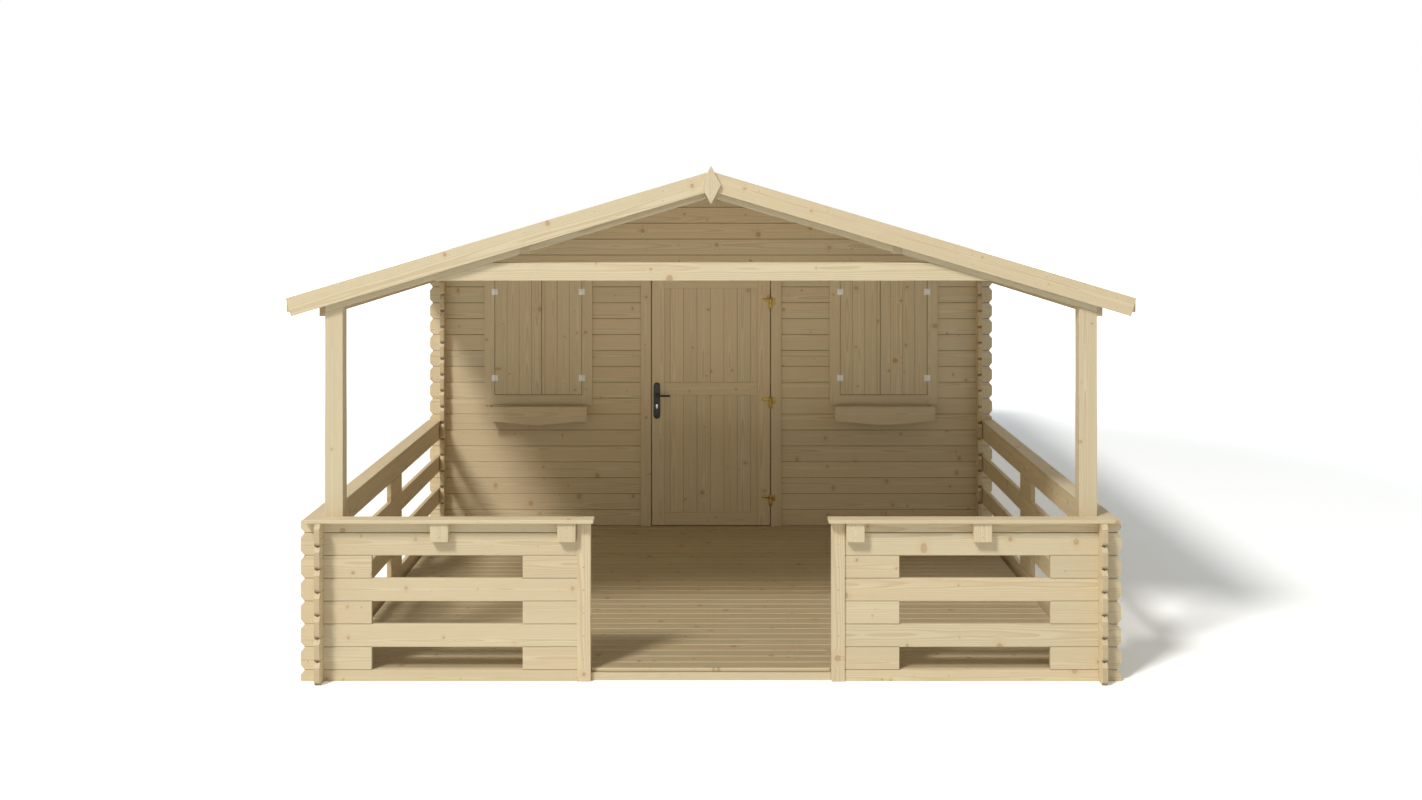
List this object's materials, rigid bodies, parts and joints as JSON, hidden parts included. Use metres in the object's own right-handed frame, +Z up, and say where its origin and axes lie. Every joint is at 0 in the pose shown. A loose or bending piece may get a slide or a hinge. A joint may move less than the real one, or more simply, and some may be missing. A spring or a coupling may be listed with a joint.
{
  "type": "garden shed",
  "caption": "Gable-roofed log garden shed with a deep railed veranda, boarded door, shuttered windows and flower boxes.",
  "frame": {"origin": "middle of the footprint's bounding box, on the ground", "axes": "+X to the right seen from the front, +Y from the front to the back, +Z up"},
  "size_m": [4.236, 8.0122, 2.5703],
  "materials": {
    "log_wood": "planed pine, untreated, with knots",
    "planed_wood": "planed pine, untreated",
    "joinery_wood": "planed pine, untreated, fine",
    "deck_wood": "planed pine boards, untreated",
    "roof_boards": "tongued pine boards, untreated",
    "brass": "satin",
    "black_metal": "satin black",
    "white_plastic": "matte white"
  },
  "bodies": {
    "shed": {"left_wall": "log_wood", "right_wall": "log_wood", "rear_wall": "log_wood", "front_wall_left": "log_wood", "front_wall_right": "log_wood", "front_gable": "log_wood", "front_sill_log": "log_wood", "shed_floor": "deck_wood", "floor_joists": "deck_wood", "deck_boards": "deck_wood", "entrance_sill": "deck_wood", "purlins": "log_wood", "eave_beams": "log_wood", "left_roof": "roof_boards", "right_roof": "roof_boards", "tie_beam": "planed_wood", "front_rafters": "planed_wood", "bargeboards": "planed_wood", "ridge_diamonds": "planed_wood", "eave_boards": "planed_wood", "corner_posts": "planed_wood", "left_rail_logs": "log_wood", "right_rail_logs": "log_wood", "left_rail_blocks": "log_wood", "right_rail_blocks": "log_wood", "left_wing_logs": "log_wood", "right_wing_logs": "log_wood", "left_wing_blocks": "log_wood", "right_wing_blocks": "log_wood", "rail_caps": "planed_wood", "wing_end_posts": "planed_wood", "corbel_blocks": "planed_wood", "door_frame": "joinery_wood", "left_window_frame": "joinery_wood", "right_window_frame": "joinery_wood", "left_window_leaves": "joinery_wood", "right_window_leaves": "joinery_wood", "window_hinges": "white_plastic", "left_flower_box": "joinery_wood", "right_flower_box": "joinery_wood", "door_hinge_plates": "brass"},
    "door": {"door_leaf": "joinery_wood", "door_hinge_straps": "brass", "door_handle_plates": "black_metal"},
    "lever": {"door_lever": "black_metal"}
  },
  "joints": [
    {"name": "door_hinge", "type": "hinge", "parent": "shed", "child": "door", "pos_m": [0.4255, -0.45, 0.95], "axis": [0, 0, 1], "range_deg": [0, 120]},
    {"name": "door_lever_turn", "type": "hinge", "parent": "door", "child": "lever", "pos_m": [-0.387, -0.4181, 0.994], "axis": [0, 1, 0], "range_deg": [0, 40], "stiffness_Nm_per_rad": 1.5, "springref_deg": -28.65}
  ]
}
